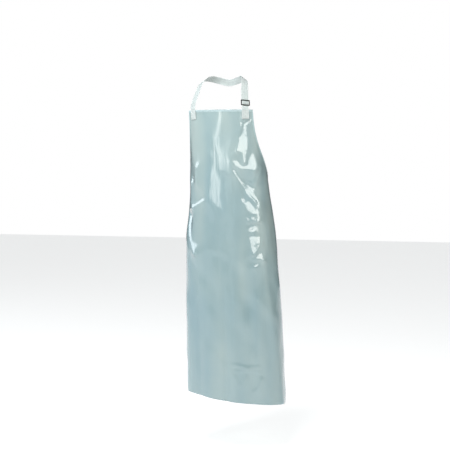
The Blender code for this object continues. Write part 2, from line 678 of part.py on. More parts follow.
def main():
    clear_scene()
    sheet = make_material("coated_sheet", SHEET_COLOUR, 0.22)
    band = make_material("edge_band", (0.68, 0.78, 0.78), 0.3)
    webbing = make_material("webbing", WEB_COLOUR, 0.8)
    thread = make_material("thread", THREAD_COLOUR, 0.7)
    plastic = make_material("black_plastic", BLACK, 0.4)

    make_sheet(sheet)
    make_bib_hem(band)
    make_armhole_binding("armhole_binding_left", -1, band)
    make_armhole_binding("armhole_binding_right", 1, band)
    make_slider_strap(webbing)
    make_neck_strap(webbing)
    make_slider(plastic)

    seam_lift = WEB_THICKNESS / 2 + GAP + THREAD / 2
    sewn_middle = NECK_TOP_EDGE - NECK_SEWN_LENGTH / 2
    backing = -(SHEET_THICKNESS / 2 + 3 * BAND_CLEARANCE + BAND_THICKNESS + PATCH_THICKNESS / 2)
    for side, word in ((-1, "left"), (1, "right")):
        corner = CORNER_AXES[side]
        add_patch(f"corner_patch_{word}", corner, CORNER_PATCH, (0, sewn_middle), backing, sheet)
        add_seam(f"corner_stitch_{word}", corner, CORNER_SEAM, (0, sewn_middle),
                 SEWN_OFFSET + seam_lift, thread)
        waist = BELT_AXES[side]
        centre = waist_centre(side)
        inside = -(SHEET_THICKNESS / 2 + BAND_CLEARANCE + PATCH_THICKNESS / 2)
        add_patch(f"waist_patch_{word}", waist, WAIST_PATCH, centre, inside, sheet)
        add_seam(f"waist_stitch_{word}", waist, WAIST_SEAM, centre, WAIST_OFFSET + seam_lift, thread)

    loop_seam_centre = (LOOP_RETURN + 0.012) / 2
    add_seam("slider_loop_stitch", SLIDER.matrix(), LOOP_SEAM, (0, loop_seam_centre),
             -RETURN_DEPTH - seam_lift, thread)

    make_waist_strap_left(webbing)
    make_waist_strap_right(webbing)
    make_socket(plastic)
    make_plug(plastic)
    make_prong("buckle_prong_upper", 1, plastic)
    make_prong("buckle_prong_lower", -1, plastic)


main()
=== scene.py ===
"""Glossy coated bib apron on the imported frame: metres, +Z up, wearer facing -Y, origin at the nape."""
import math

import bpy
import numpy as np
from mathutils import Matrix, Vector


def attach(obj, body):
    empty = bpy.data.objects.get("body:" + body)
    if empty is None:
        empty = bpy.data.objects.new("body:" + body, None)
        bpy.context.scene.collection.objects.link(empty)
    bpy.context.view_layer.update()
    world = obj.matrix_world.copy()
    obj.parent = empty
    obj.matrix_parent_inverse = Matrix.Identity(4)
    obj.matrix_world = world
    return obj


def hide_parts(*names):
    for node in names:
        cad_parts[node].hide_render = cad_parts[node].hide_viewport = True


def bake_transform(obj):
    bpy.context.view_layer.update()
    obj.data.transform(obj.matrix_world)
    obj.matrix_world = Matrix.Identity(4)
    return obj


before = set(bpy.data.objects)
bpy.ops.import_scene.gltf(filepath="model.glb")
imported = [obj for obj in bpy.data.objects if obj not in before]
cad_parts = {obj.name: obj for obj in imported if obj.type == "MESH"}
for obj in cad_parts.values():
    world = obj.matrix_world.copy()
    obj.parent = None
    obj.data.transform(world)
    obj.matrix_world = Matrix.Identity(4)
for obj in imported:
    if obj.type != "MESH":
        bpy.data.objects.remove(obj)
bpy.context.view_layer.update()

# ---- sizes shared with the CAD
SHEET_THICKNESS = 0.0008
BIB_HALF_WIDTH = 0.155
SHEET_HALF_WIDTH = 0.4
BIB_TOP_Z = -0.126
ARMHOLE_DROP = 0.324
WAIST_Z = BIB_TOP_Z - ARMHOLE_DROP
HEM_Z = -1.35
HEM_SLANT = -0.105
REACH = SHEET_HALF_WIDTH - BIB_HALF_WIDTH

TORSO_Y = -0.055
TORSO_Z = (-1.42, -1.0, -0.65, -0.475, -0.3, -0.126)
TORSO_HALF_WIDTH = (0.219, 0.213, 0.198, 0.173, 0.164, 0.177)
TORSO_FRONT = (0.15, 0.15, 0.143, 0.141, 0.138, 0.131)
TORSO_BACK = (0.15, 0.14, 0.128, 0.12, 0.124, 0.124)
TORSO_SHIFT = (0.05, 0.036, 0.022, 0.018, 0.01, 0.0)
TORSO_SOFTENING = 0.045  # the profile's corners are rounded over about this height
ARC_SAMPLES = 241

WEB_WIDTH = 0.03
WEB_THICKNESS = 0.0011
GAP = 0.0003
STRAP_S = 0.12  # middle of a neck strap's sewn end
SEWN_LENGTH = 0.038
SEWN_OFFSET = 0.0023
SEWN_Z = BIB_TOP_Z - SEWN_LENGTH / 2

SLIDER_CENTRE = Vector((0.113619, -0.148368, -0.095711))
SLIDER_UP = Vector((-0.132246, 0.3206, 0.937937)).normalized()
SLIDER_OUT = Vector((0.531058, -0.776065, 0.340147)).normalized()
SLIDER_ACROSS = SLIDER_UP.cross(SLIDER_OUT)
CENTRE_BAR_RADIUS = 0.0012
LAP_DEPTH, THREAD_DEPTH, RETURN_DEPTH = 0.0034, 0.0019, 0.0049
SLOT_EXIT, LAP_EXIT_DEPTH, RETURN_EXIT_DEPTH = 0.0084, 0.0036, 0.0052
LOOP_RETURN, SLIDER_TAIL = 0.032, 0.05
LOOP_LOW, LOOP_MIDDLE, LOOP_HIGH = 0.012, 0.022, 0.03
THREAD_CLEAR = 0.0128  # where the slider strap runs straight past the slider
STRAP_TOP_STRAIGHT = (0.1045, -0.128, -0.045)
NECK_ROUTE = (
    ((0.0985, -0.106, -0.012), (0.83, 0.42, -0.36)),
    ((0.088, -0.073, 0.009), (0.8, 0.25, -0.54)),
    ((0.072, -0.04, 0.015), (0.62, 0.22, -0.75)),
    ((0.044, -0.0135, 0.009), (0.34, 0.14, -0.93)),
    ((0.016, -0.002, 0.002), (0.1, -0.04, -0.99)),
)

BELT_Z = WAIST_Z - 0.0245
BUCKLE_MOUTH_X, BUCKLE_Y = 0.025, 0.0745
BELT_S = 0.3827  # middle of the belt's sewn end
BELT_SEWN_LENGTH = 0.034
BELT_OFFSET = 0.0015
TAIL_DEPTH = 0.0017
SOCKET_BAR_U, SOCKET_BAR_HALF = -0.033, 0.0015
# the belt's stations in and near the buckle, as (u, n)
BELT_LEFT_REACH = ((-0.054, -0.0006), (-0.041, 0.0021))
BELT_LAP, BELT_LAP_DEPTH = (-0.042, -0.052), 0.0025
BELT_RIGHT_REACH = ((0.041, -0.0044), (0.029, -0.0025), (0.0205, -0.0021))
PLUG_TURN = ((0.0172, -0.002), (0.0143, 0.0012), (0.0127, 0.00215), (0.0107, 0.00215), (0.0091, 0.0016),
             (0.0089, 0.0002), (0.009, -0.0012), (0.0099, -0.003), (0.0122, -0.0037))

UP = Vector((0, 0, 1))
SIDES = ((-1, "left"), (1, "right"))


# ---- shader nodes

class Nodes:
    """Short ways to add and join the nodes of a material, light or world."""

    def __init__(self, owner):
        owner.use_nodes = True
        self.owner, self.tree = owner, owner.node_tree

    def add(self, kind, inputs=None, **settings):
        node = self.tree.nodes.new(kind)
        for key, value in settings.items():
            setattr(node, key, value)
        for key, value in (inputs or {}).items():
            self.feed(value, node.inputs[key])
        return node

    def feed(self, value, socket):
        if isinstance(value, bpy.types.NodeSocket):
            self.tree.links.new(value, socket)
        else:
            socket.default_value = value

    def math(self, operation, a, b=0.0, c=0.0):
        node = self.add("ShaderNodeMath", operation=operation)
        for socket, value in zip(node.inputs, (a, b, c)):
            self.feed(value, socket)
        return node.outputs[0]

    def noise(self, vector, scale, detail=2.0, roughness=0.5):
        node = self.add("ShaderNodeTexNoise", {"Vector": vector, "Scale": scale, "Detail": detail,
                                               "Roughness": roughness})
        return node.outputs["Fac"]

    def place(self, scale=(1, 1, 1)):
        coordinates = self.add("ShaderNodeTexCoord").outputs["Object"]
        return self.add("ShaderNodeMapping", {"Vector": coordinates, "Scale": scale}).outputs[0]

    def split(self, vector):
        return self.add("ShaderNodeSeparateXYZ", {"Vector": vector}).outputs

    def ramp(self, factor, stops, interpolation="LINEAR"):
        node = self.add("ShaderNodeValToRGB", {"Fac": factor})
        node.color_ramp.interpolation = interpolation
        elements = node.color_ramp.elements
        while len(elements) < len(stops):
            elements.new(0.5)
        for element, (position, colour) in zip(elements, stops):
            element.position = position
            element.color = (*colour, 1.0)
        return node.outputs["Color"]

    def spread(self, factor, low, high):
        """A 0 to 1 value between two limits."""
        return self.math("MULTIPLY_ADD", factor, high - low, low)

    def rising(self, value, start, end, most):
        """0 up to one value, changing evenly to most at another."""
        return self.add("ShaderNodeMapRange", {"Value": value, "From Min": start, "From Max": end,
                                               "To Min": 0.0, "To Max": most}).outputs[0]

    def bump(self, height, distance, normal=None):
        inputs = {"Height": height, "Distance": distance}
        if normal is not None:
            inputs["Normal"] = normal
        return self.add("ShaderNodeBump", inputs).outputs[0]

    def finish(self, **sockets):
        """Sets or feeds the shader's sockets, and gives the material."""
        shader = self.tree.nodes["Principled BSDF"]
        for key, value in sockets.items():
            self.feed(value, shader.inputs[key.replace("_", " ")])
        return self.owner


def new_material(name):
    return Nodes(bpy.data.materials.new(name))


# ---- camera, light and floor

CAMERA_AZIMUTH = math.radians(17)
CAMERA_DISTANCE = 5.0
CAMERA_Z = -0.37
TARGET_ASIDE, TARGET_Z = -0.0043, -0.617
FRAME_WIDTH = 1.95  # metres across the frame at the torso
SENSOR_WIDTH = 36.0

COOL, WARM = (0.9, 0.96, 1.0), (1.0, 1.0, 0.93)
# Pale panels and darker gaps round the room: azimuth from -Y towards +X, level and tint.
ROOM = ((-180, 0.12, COOL), (-128, 0.15, COOL), (-104, 0.55, COOL), (-72, 0.6, COOL), (-52, 0.35, COOL),
        (-30, 0.22, WARM), (-12, 0.28, WARM), (-2, 0.8, COOL), (12, 0.4, COOL), (40, 0.14, WARM),
        (60, 0.19, WARM), (76, 0.7, WARM), (88, 0.7, WARM), (102, 0.12, COOL), (130, 0.05, COOL),
        (180, 0.12, COOL))
# Softboxes: name, azimuth, distance, heights of the lower and upper edge, width, radiance and tint.
SOFTBOXES = (
    ("key", -17, 3.2, -0.42, 1.0, 1.8, 4.0, (1.0, 0.99, 0.96)),
    ("fill", 50, 6.0, 0.43, 2.6, 2.6, 5.6, (1.0, 0.98, 0.93)),
    ("rim", -86, 6.0, 0.4, 2.4, 4.6, 3.6, (0.9, 0.96, 1.0)),
    ("overhead", -8, 1.5, 1.1, 1.9, 1.2, 17.0, (0.96, 0.98, 1.0)),
)
OVERHEAD_TARGET_Z = -0.25

FLOOR_Z, FLOOR_HALF = -1.57, 14.0
FLOOR_TONE, FLOOR_ROUGHNESS, FLOOR_GLOW = (0.93, 0.93, 0.93, 1.0), 0.6, 0.58


def put(name, data):
    item = bpy.data.objects.new(name, data)
    bpy.context.scene.collection.objects.link(item)
    return item


def aim(item, target):
    item.rotation_euler = (Vector(target) - item.location).to_track_quat("-Z", "Y").to_euler()


def make_camera():
    data = bpy.data.cameras.new("camera")
    camera = put("camera", data)
    sin, cos = math.sin(CAMERA_AZIMUTH), math.cos(CAMERA_AZIMUTH)
    camera.location = (CAMERA_DISTANCE * sin, TORSO_Y - CAMERA_DISTANCE * cos, CAMERA_Z)
    target = Vector((TARGET_ASIDE * cos, TORSO_Y + TARGET_ASIDE * sin, TARGET_Z))
    aim(camera, target)
    data.sensor_width = SENSOR_WIDTH
    data.lens = data.sensor_width * (target - camera.location).length / FRAME_WIDTH
    bpy.context.scene.camera = camera


def fade_sides(light):
    """Makes a rectangular light brightest along its middle and dark at its upright sides."""
    nodes = Nodes(light.data)
    across = nodes.split(nodes.add("ShaderNodeNewGeometry").outputs["Parametric"])[0]
    profile = nodes.ramp(across, ((0.0, (0, 0, 0)), (0.5, (1, 1, 1)), (1.0, (0, 0, 0))), "EASE")
    nodes.feed(profile, nodes.tree.nodes["Emission"].inputs["Strength"])


def softbox(name, azimuth, distance, low, high, width, radiance, tint):
    """Upright rectangular light that faces the apron."""
    data = bpy.data.lights.new(name, "AREA")
    data.shape = "RECTANGLE"
    data.size, data.size_y = width, high - low
    data.energy = radiance * math.pi * width * (high - low)
    data.color = tint
    light = put(name, data)
    angle = math.radians(azimuth)
    middle = (low + high) / 2
    light.location = (distance * math.sin(angle), TORSO_Y - distance * math.cos(angle), middle)
    aim(light, (0, TORSO_Y, middle))
    light.visible_camera = False
    return light


def make_world():
    """White where the camera looks, and the room's panels for everything else."""
    world = bpy.data.worlds.new("studio")
    bpy.context.scene.world = world
    nodes = Nodes(world)
    nodes.tree.nodes.clear()
    x, y, _ = nodes.split(nodes.add("ShaderNodeTexCoord").outputs["Generated"])
    azimuth = nodes.math("ARCTAN2", x, nodes.math("MULTIPLY", y, -1.0))
    turn = nodes.math("MULTIPLY_ADD", azimuth, 1 / (2 * math.pi), 0.5)
    stops = [(degrees / 360 + 0.5, [level * part for part in tint]) for degrees, level, tint in ROOM]
    lit = nodes.add("ShaderNodeBackground", {"Color": nodes.ramp(turn, stops, "EASE"), "Strength": 1.0})
    seen = nodes.add("ShaderNodeBackground", {"Color": (1, 1, 1, 1), "Strength": 1.0})
    to_camera = nodes.add("ShaderNodeLightPath").outputs["Is Camera Ray"]
    mixed = nodes.add("ShaderNodeMixShader", {0: to_camera, 1: lit.outputs[0], 2: seen.outputs[0]})
    nodes.add("ShaderNodeOutputWorld", {"Surface": mixed.outputs[0]})


def make_studio():
    make_world()
    boxes = {row[0]: softbox(*row) for row in SOFTBOXES}
    fade_sides(boxes["key"])
    aim(boxes["overhead"], (0, TORSO_Y, OVERHEAD_TARGET_Z))
    white = new_material("floor").finish(Base_Color=FLOOR_TONE, Roughness=FLOOR_ROUGHNESS,
                                         Emission_Color=(1, 1, 1, 1), Emission_Strength=FLOOR_GLOW)
    corners = [(x * FLOOR_HALF, y * FLOOR_HALF, FLOOR_Z) for x, y in ((-1, -1), (1, -1), (1, 1), (-1, 1))]
    floor = add_mesh("floor", corners, [(0, 1, 2, 3)], [white], smooth=False)


# ---- materials

PAINTED_SHADE_DROP = (-0.7, -1.0, 0.14)  # painted shade down the skirt: heights where the change starts and ends, and its most
PAINTED_LIGHT_RISE = (-0.5, -0.15, 0.15)  # painted light up the bib


def sheet_material():
    """Wet-look coating over a knitted backing: cloudy colour, upright bands of painted fold shade, painted
    light up the bib and painted shade down the skirt, orange peel, faint backing ribs.
    """
    nodes = new_material("coated_sheet")
    place = nodes.place()
    cloud = nodes.noise(place, 5.0, 3.0)
    # upright bands of lighter and darker colour: painted shade and light of soft upright folds
    painted_fold_shade_bands = nodes.noise(nodes.place((11.0, 11.0, 1.2)), 1.0, 1.5)
    mixed = nodes.math("ADD", nodes.math("MULTIPLY", cloud, 0.35), nodes.math("MULTIPLY", painted_fold_shade_bands, 0.65))
    height = nodes.split(place)[2]
    # painted light and shade: the colour darkens down the skirt and lightens up the bib
    mixed = nodes.math("SUBTRACT", mixed, nodes.rising(height, *PAINTED_SHADE_DROP))
    mixed = nodes.math("ADD", mixed, nodes.rising(height, *PAINTED_LIGHT_RISE))
    tone = nodes.ramp(mixed, ((0.24, (0.205, 0.312, 0.344)), (0.5, (0.264, 0.358, 0.369)),
                              (0.7, (0.326, 0.404, 0.394))))
    peel = nodes.noise(place, 420.0, 1.0)
    drawn = nodes.noise(nodes.place((95.0, 95.0, 9.0)), 1.0, 2.0)
    surface = nodes.bump(drawn, 0.00035)
    surface = nodes.bump(peel, 0.00003, normal=surface)
    scuff = nodes.noise(place, 38.0, 4.0, 0.6)
    return nodes.finish(Base_Color=tone, Roughness=nodes.spread(scuff, 0.1, 0.2), Normal=surface, IOR=1.5,
                        Coat_Weight=0.85, Coat_Roughness=0.07, Coat_IOR=1.5)


def lining_material():
    """Reverse of the sheet: matt knitted backing that shows the coating's colour."""
    nodes = new_material("sheet_backing")
    place = nodes.place()
    loops = nodes.add("ShaderNodeTexVoronoi", {"Vector": nodes.place((1.0, 1.0, 0.7)), "Scale": 620.0})
    cloud = nodes.noise(place, 9.0, 3.0)
    tone = nodes.ramp(cloud, ((0.3, (0.5, 0.6, 0.6)), (0.7, (0.56, 0.65, 0.64))))
    return nodes.finish(Base_Color=tone, Roughness=nodes.spread(cloud, 0.5, 0.66),
                        Normal=nodes.bump(loops.outputs["Distance"], 0.00025))


def band_material(name, colour):
    """Folded and welded edge: the same coating, paler, with a fine pressed rib."""
    nodes = new_material(name)
    place = nodes.place()
    cloud = nodes.noise(place, 14.0, 3.0)
    dark = tuple(c * 0.94 for c in colour)
    tone = nodes.ramp(cloud, ((0.3, dark), (0.7, colour)))
    pressed = nodes.noise(place, 260.0, 2.0)
    return nodes.finish(Base_Color=tone, Roughness=nodes.spread(cloud, 0.2, 0.32),
                        Normal=nodes.bump(pressed, 0.0002), IOR=1.5)


WEAVE_PITCH = 0.0012
WEFT_PITCH = WEAVE_PITCH * 0.9
SELVEDGE_WIDTH = 0.0032
STRIPE_AT, STRIPE_HALF = 0.0052, 0.0011


def webbing_material():
    """Woven webbing: rows of yarn that pass over and under, paler selvedges, a little soiling."""
    nodes = new_material("webbing")
    across, along, _ = nodes.split(nodes.add("ShaderNodeTexCoord").outputs["UV"])
    warp = nodes.math("SINE", nodes.math("MULTIPLY", across, 2 * math.pi / WEAVE_PITCH))
    weft = nodes.math("SINE", nodes.math("MULTIPLY", along, 2 * math.pi / WEFT_PITCH))
    knots = nodes.math("MULTIPLY_ADD", nodes.math("MULTIPLY", warp, weft), 0.5, 0.5)
    fuzz = nodes.noise(nodes.place(), 900.0, 3.0)
    height = nodes.math("MULTIPLY_ADD", fuzz, 0.35, knots)
    off_middle = nodes.math("ABSOLUTE", across)
    selvedge = nodes.math("GREATER_THAN", off_middle, WEB_WIDTH / 2 - SELVEDGE_WIDTH)
    from_stripe = nodes.math("ABSOLUTE", nodes.math("SUBTRACT", off_middle, STRIPE_AT))
    stripe = nodes.math("LESS_THAN", from_stripe, STRIPE_HALF)
    soil = nodes.noise(nodes.place(), 24.0, 4.0)
    level = nodes.math("ADD", nodes.math("MULTIPLY", knots, 0.3), nodes.math("MULTIPLY", soil, 0.25))
    level = nodes.math("ADD", level, nodes.math("MULTIPLY", selvedge, 0.35))
    level = nodes.math("ADD", level, nodes.math("MULTIPLY", stripe, 0.2))
    tone = nodes.ramp(level, ((0.1, (0.4, 0.45, 0.44)), (0.75, (0.54, 0.58, 0.57))))
    return nodes.finish(Base_Color=tone, Roughness=nodes.spread(soil, 0.62, 0.8), Sheen_Weight=0.25,
                        Normal=nodes.bump(height, 0.00018))


def thread_material():
    nodes = new_material("thread")
    place = nodes.place()
    ply = nodes.add("ShaderNodeTexWave", {"Vector": place, "Scale": 900.0, "Distortion": 1.5},
                    bands_direction="DIAGONAL").outputs["Fac"]
    tone = nodes.ramp(ply, ((0.1, (0.7, 0.74, 0.72)), (0.9, (0.9, 0.93, 0.91))))
    return nodes.finish(Base_Color=tone, Roughness=nodes.spread(ply, 0.45, 0.6), Sheen_Weight=0.2,
                        Normal=nodes.bump(ply, 0.0001))


def plastic_material():
    """Moulded acetal: near black, fine spark-eroded grain, edges a little polished by wear."""
    nodes = new_material("black_plastic")
    place = nodes.place()
    grain = nodes.noise(place, 2600.0, 2.0)
    wear = nodes.noise(place, 120.0, 4.0, 0.6)
    pointed = nodes.add("ShaderNodeNewGeometry").outputs["Pointiness"]
    edge = nodes.math("MULTIPLY", nodes.math("SUBTRACT", pointed, 0.5), 6.0)
    level = nodes.math("MULTIPLY_ADD", edge, 0.5, nodes.math("MULTIPLY", wear, 0.8))
    tone = nodes.ramp(level, ((0.25, (0.003, 0.005, 0.004)), (0.85, (0.012, 0.016, 0.013))))
    return nodes.finish(Base_Color=tone, Roughness=nodes.spread(wear, 0.34, 0.52),
                        Normal=nodes.bump(grain, 0.00004), IOR=1.4, Specular_IOR_Level=0.22)


# ---- the wrapped sheet

def softened_profile():
    """The torso's tables on a fine grid of heights, with their corners rounded."""
    heights = np.arange(-1.7, 0.2001, 0.005)
    reach = np.arange(-30, 31) * 0.005
    kernel = np.exp(-0.5 * (reach / TORSO_SOFTENING) ** 2)
    kernel /= kernel.sum()
    tables = []
    for row in (TORSO_HALF_WIDTH, TORSO_FRONT, TORSO_BACK, TORSO_SHIFT):
        values = np.interp(heights, TORSO_Z, row)
        above, below = heights > TORSO_Z[-1], heights < TORSO_Z[0]
        rise = (row[-1] - row[-2]) / (TORSO_Z[-1] - TORSO_Z[-2])
        values[above] = row[-1] + rise * (heights[above] - TORSO_Z[-1])
        values[below] = row[0]
        padded = np.pad(values, len(reach) // 2, mode="edge")
        tables.append(np.convolve(padded, kernel, mode="valid"))
    return heights, tables


BATCH = 4096  # points wrapped at a time
PROFILE_Z, PROFILE = softened_profile()


def matched(s, z):
    return [np.asarray(a, float) for a in np.broadcast_arrays(s, z)]


def wrap(s, z):
    """Points and horizontal outward directions on the bare wrap, s metres round from the front's middle."""
    s, z = matched(s, z)
    shape = s.shape
    s, z = s.ravel(), z.ravel()
    points, outward = np.empty((s.size, 3)), np.zeros((s.size, 3))
    angles = np.linspace(0.0, math.pi, ARC_SAMPLES)
    sin, cos = np.sin(angles), np.cos(angles)
    for start in range(0, s.size, BATCH):
        part = slice(start, start + BATCH)
        half_width, front, back, shift = (np.interp(z[part], PROFILE_Z, t)[:, None] for t in PROFILE)
        depth = np.where(angles < math.pi / 2, front, back)
        xs, ys = half_width * sin, -depth * cos
        steps = np.hypot(np.diff(xs, axis=1), np.diff(ys, axis=1))
        lengths = np.concatenate([np.zeros((len(xs), 1)), np.cumsum(steps, axis=1)], axis=1)
        side = np.where(s[part] < 0, -1.0, 1.0)
        reach = np.abs(s[part])[:, None]
        k = np.clip((lengths < reach).sum(axis=1) - 1, 0, ARC_SAMPLES - 2)
        rows = np.arange(len(k))
        share = (reach[:, 0] - lengths[rows, k]) / (lengths[rows, k + 1] - lengths[rows, k])
        x = xs[rows, k] + (xs[rows, k + 1] - xs[rows, k]) * share
        y = ys[rows, k] + (ys[rows, k + 1] - ys[rows, k]) * share
        angle = angles[k] + (angles[k + 1] - angles[k]) * share
        near = np.where(angle < math.pi / 2, front[:, 0], back[:, 0])
        nx, ny = np.sin(angle) / half_width[:, 0], -np.cos(angle) / near
        scale = 1.0 / np.hypot(nx, ny)
        points[part] = np.stack([x * side + shift[:, 0], TORSO_Y + y, z[part]], axis=1)
        outward[part, 0] = nx * scale * side
        outward[part, 1] = ny * scale
    return points.reshape(*shape, 3), outward.reshape(*shape, 3)


def unit(vectors):
    return vectors / np.linalg.norm(vectors, axis=-1, keepdims=True)


def smoothstep(value, low, high):
    t = np.clip((value - low) / (high - low), 0.0, 1.0)
    return t * t * (3 - 2 * t)


def inside(outline, s, z):
    """Where points lie inside a closed outline."""
    result = np.zeros(s.shape, bool)
    for (s0, z0), (s1, z1) in zip(outline, outline[1:] + outline[:1]):
        if z0 == z1:
            continue
        crossing = (z0 > z) != (z1 > z)
        result ^= crossing & (s < s0 + (z - z0) * (s1 - s0) / (z1 - z0))
    return result


def to_line(line, s, z):
    """Distance to a polyline, and how far along it the nearest point is, from 0 to 1."""
    best = np.full(s.shape, 1e9)
    along = np.zeros(s.shape)
    lengths = [math.dist(a, b) for a, b in zip(line, line[1:])]
    total, done = sum(lengths), 0.0
    for (a, b), length in zip(zip(line, line[1:]), lengths):
        ds, dz = b[0] - a[0], b[1] - a[1]
        t = np.clip(((s - a[0]) * ds + (z - a[1]) * dz) / (length * length), 0.0, 1.0)
        distance = np.hypot(s - a[0] - t * ds, z - a[1] - t * dz)
        nearer = distance < best
        best = np.where(nearer, distance, best)
        along = np.where(nearer, (done + t * length) / total, along)
        done += length
    return best, along


def near_sewn_end(s, z, half_s, half_z):
    """1 under a neck strap's sewn end, and 0 away from it."""
    return np.exp(-np.hypot((np.abs(s) - STRAP_S) / half_s, (z - SEWN_Z) / half_z) ** 4)


def metres(value):
    """Millimetres to metres, through nested rows."""
    return value / 1000 if isinstance(value, (int, float)) else [metres(part) for part in value]


# Facets of the pulled sheet: the way each faces, in degrees from -Y towards +X and upward, how stiffly,
# and its outline in (s, z), in millimetres. An upward lean of None is the wrap's own.
PANELS = (
    # flat panels either side of the packing crease down the bib
    (-8, None, 0.8, [(-30, -120), (13, -120), (6, -180), (-5, -250), (-8, -285), (-30, -262), (-44, -262),
                     (-42, -190)]),
    (11, None, 0.8, [(22.5, -120), (60, -120), (56, -262), (34, -262), (16, -272), (6, -285), (6, -255),
                     (12, -212), (17.5, -180)]),
    (1, 4, 1.4, [(-9, -245), (7, -245), (6, -310), (-10, -310)]),
    # over the belly, and the strip that runs down from it
    (0, 4, 1.6, [(14, -299), (18, -272), (30, -268), (36, -305), (41, -337), (50, -396), (38, -378),
                 (27, -367), (16, -384), (4, -373), (-24, -373), (-28, -337), (-43, -309), (-45, -268),
                 (-34, -288), (-22, -303), (-18, -284), (-8, -296), (4, -290)]),
    (-1, 3.6, 1.4, [(-32, -350), (3, -350), (-1, -425), (-34, -425)]),
    (-1, 3, 0.9, [(-24, -373), (3, -373), (-1, -441), (-4, -500), (6, -517), (-5, -555), (-13, -600),
                  (-23, -600), (-34, -547), (-54, -519), (-46, -441), (-42, -405), (-30, -391)]),
    (0, 6, 1.2, [(-24, -597), (-12, -597), (-21, -716), (-31, -716)]),
    (8, None, 0.7, [(-9, -595), (14, -575), (6, -720), (-17, -720)]),
    (-10, None, 0.7, [(-27, -597), (-52, -580), (-56, -720), (-35, -720)]),
    (-12, None, 0.12, [(-110, -357), (-56, -357), (-52, -421), (-60, -463), (-102, -463), (-120, -421)]),
    (11, None, 0.6, [(4, -392), (52, -413), (48, -567), (16, -569), (12, -520), (2, -495)]),
)
FACETS = (
    # the crease itself
    (1, None, 1, [(14, -120), (21.5, -120), (16.5, -180), (11, -212), (5, -255), (4, -300), (-7.5, -300),
                  (-4.5, -250), (3, -205), (7, -180)]),
    # fold hanging from the strap, with the hollow and ledge under it
    (34, 9, 3, [(110, -202), (115, -181), (124, -173), (146, -160), (148, -170), (132, -184), (121, -197),
                (116, -214), (117, -234), (124, -268), (123, -292), (112, -299), (73, -301), (91, -252),
                (105, -218)]),
    (19, 1, 0.5, [(102, -185), (95, -215), (83, -250), (68, -299), (45, -299), (70, -200)]),
    (44, 1, 0.5, [(120, -200), (123, -234), (130, -268), (129, -292), (150, -285), (142, -200)]),
    (34, 10, 4, [(103, -299), (114.5, -297), (113, -348), (102, -350)]),
    (22, 0, 0.3, [(56, -303), (101, -303), (100, -352), (90, -354), (78, -338), (52, -333)]),
    (46, 0, 0.3, [(117, -303), (140, -303), (128, -334), (115, -354)]),
    (33, 9, 1, [(42, -340), (60, -337), (78, -341), (89, -357), (98, -364), (119, -356), (132, -325),
                (148, -300), (153, -312), (158, -340), (162, -376), (122, -376), (90, -373), (66, -359),
                (52, -346)]),
    (28, -4, 0.4, [(78, -382), (156, -383), (140, -425), (122, -428), (100, -410)]),
    # long fold slanting to the hip, and the wrinkles it ends in
    (33, 10, 1.2, [(62, -373), (76, -400), (94, -425), (113, -446), (118, -436), (136, -455), (128, -463),
                   (112, -463), (88, -433), (68, -405), (56, -379)]),
    (27, 9, 3, [(118, -460), (127, -461), (163, -503), (170, -517), (161, -516), (154, -507), (115, -466)]),
    (32, 12, 3, [(161, -516), (170, -517), (168, -530), (162, -553), (168, -581), (161, -602), (152, -600),
                 (159, -581), (154, -555), (159, -527)]),
    (18, 1, 1, [(98, -452), (110, -470), (149, -511), (154, -530), (149, -553), (154, -580), (148, -594),
                (149, -560), (143, -528), (124, -508), (106, -507)]),
    (33, 9, 1, [(112, -511), (122, -513), (140, -530), (146, -553), (136, -553), (130, -540)]),
    (33, 10, 1.2, [(102, -577), (116, -577), (126, -590), (117, -597)]),
    (33, 10, 1.2, [(130, -580), (142, -572), (145, -589), (133, -594)]),
    (33, 9, 1.2, [(134, -606), (163, -606), (159, -634), (160, -652), (124, -646), (118, -630), (128, -616)]),
    (33, -25, 0.5, [(123, -647), (146, -651), (146, -655), (124, -651)]),
    (33, 13, 1.2, [(125, -652), (161, -656), (165, -682), (154, -708), (145, -732), (130, -736)]),
    (34, 14, 1, [(148, -736), (160, -722), (174, -738), (179, -766), (166, -756), (134, -755), (133, -745),
                 (154, -745)]),
    (33, 14, 1.2, [(131, -787), (156, -766), (162, -773), (143, -791)]),
    # left side: the pull towards the belt, and the long fold beside the thigh
    (-34, 17, 1.4, [(-156, -544), (-152, -533), (-84, -496), (-82, -506)]),
    (-38, 17, 1.2, [(-166, -437), (-162, -424), (-146, -414), (-146, -425)]),
    (-38, 17, 1.8, [(-206, -570), (-201, -618), (-184, -658), (-156, -700), (-131, -742), (-123, -736),
                    (-143, -694), (-168, -646), (-184, -608), (-190, -570)]),
)

PANEL_SOFTNESS = 1.6  # lattice cells over which a panel's edge fades
LOOSE = 0.03  # stiffness where no facet lies
LATTICE_STEP = 0.003
LATTICE_S = (-0.27, 0.33)
LATTICE_Z = (-0.9, -0.09)
FADE_S, FADE_Z = 0.05, 0.1  # margins over which the lattice's heights fade out
SOLVER_STEPS = 700
# How firmly the lattice is held to the bare wrap: everywhere, at the sewn ends, and below a height.
REST_PIN, SEWN_PIN, SKIRT_PIN, SKIRT_PIN_Z = 1.5e-4, 0.6, 0.02, -0.88

# Creases, in millimetres: height, width, and the line in (s, z).
RIDGES = metres((
    (-0.9, 4, [(154, -604), (127, -622)]),
    (-0.9, 4, [(131, -634), (155, -611)]),
    (-0.7, 4, [(137, -650), (153, -642)]),
    (-0.8, 4, [(142, -708), (160, -690)]),
    (2.2, 13, [(190, -355), (178, -405), (146, -447)]),
    (-1.6, 10, [(170, -365), (158, -397), (128, -432)]),
    (0.6, 5, [(20, -650), (26, -690)]),
    (0.6, 5, [(40, -680), (46, -700)]),
    (0.8, 6, [(146, -930), (160, -915)]),
    (1.2, 6, [(-124, -750), (-118, -868), (-142, -935)]),
    # slack across the shins, where the sheet folds over as the knee moves
    (1.6, 7, [(16, -1199), (54, -1203), (92, -1214), (160, -1209)]),
    (1.2, 6, [(32, -1228), (96, -1224), (162, -1236)]),
    (1.4, 8, [(36, -1239), (52, -1280), (74, -1288), (94, -1237)]),
    (1.4, 8, [(158, -1250), (142, -1298), (108, -1328)]),
))


